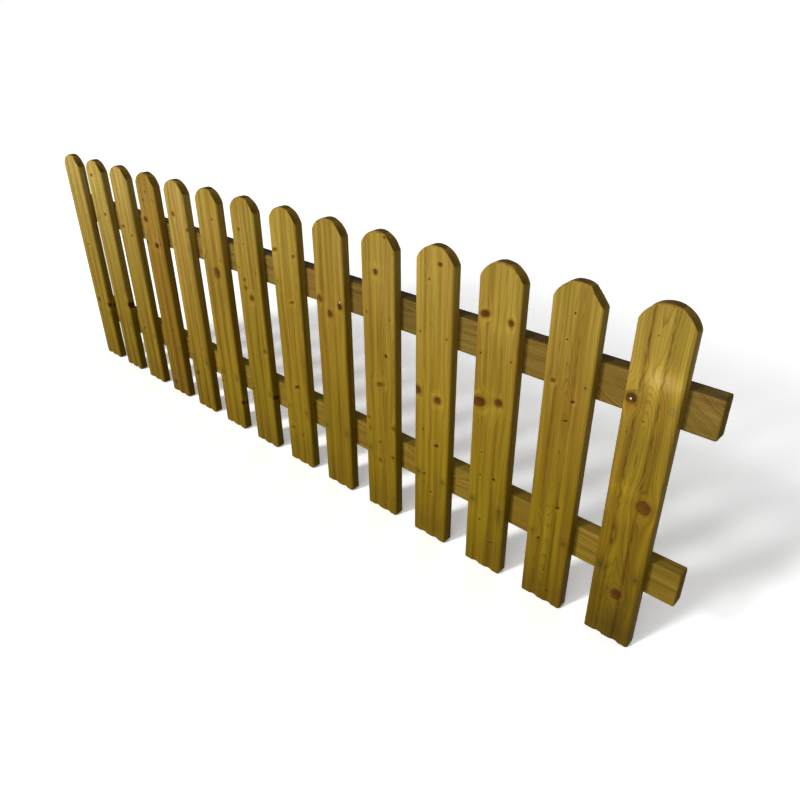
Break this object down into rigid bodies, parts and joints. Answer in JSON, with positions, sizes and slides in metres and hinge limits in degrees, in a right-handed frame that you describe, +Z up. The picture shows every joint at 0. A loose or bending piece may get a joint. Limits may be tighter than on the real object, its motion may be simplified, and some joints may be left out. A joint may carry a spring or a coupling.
{
  "type": "garden fence panel",
  "caption": "Low wooden garden fence panel: spaced round-topped pickets nailed to the front of an upper and a lower rail, with rail ends left free for posts.",
  "frame": {"origin": "on the upper rail's back face, at mid-height of the rail and 20 mm in from its left end, in the middle of the stretch that seats on the left post", "axes": "+X along the rails to the right seen from the picket side, -Y the side the pickets face, +Y out of the rails' backs towards the posts, +Z up"},
  "size_m": [1.86, 0.048, 0.6],
  "materials": {
    "picket_wood": "planed pressure-treated pine",
    "rail_wood": "sawn pressure-treated pine"
  },
  "bodies": {
    "root": {"picket_01": "picket_wood", "picket_02": "picket_wood", "picket_03": "picket_wood", "picket_04": "picket_wood", "picket_05": "picket_wood", "picket_06": "picket_wood", "picket_07": "picket_wood", "picket_08": "picket_wood", "picket_09": "picket_wood", "picket_10": "picket_wood", "picket_11": "picket_wood", "picket_12": "picket_wood", "picket_13": "picket_wood", "picket_14": "picket_wood", "rail_upper": "rail_wood", "rail_lower": "rail_wood"}
  },
  "joints": []
}
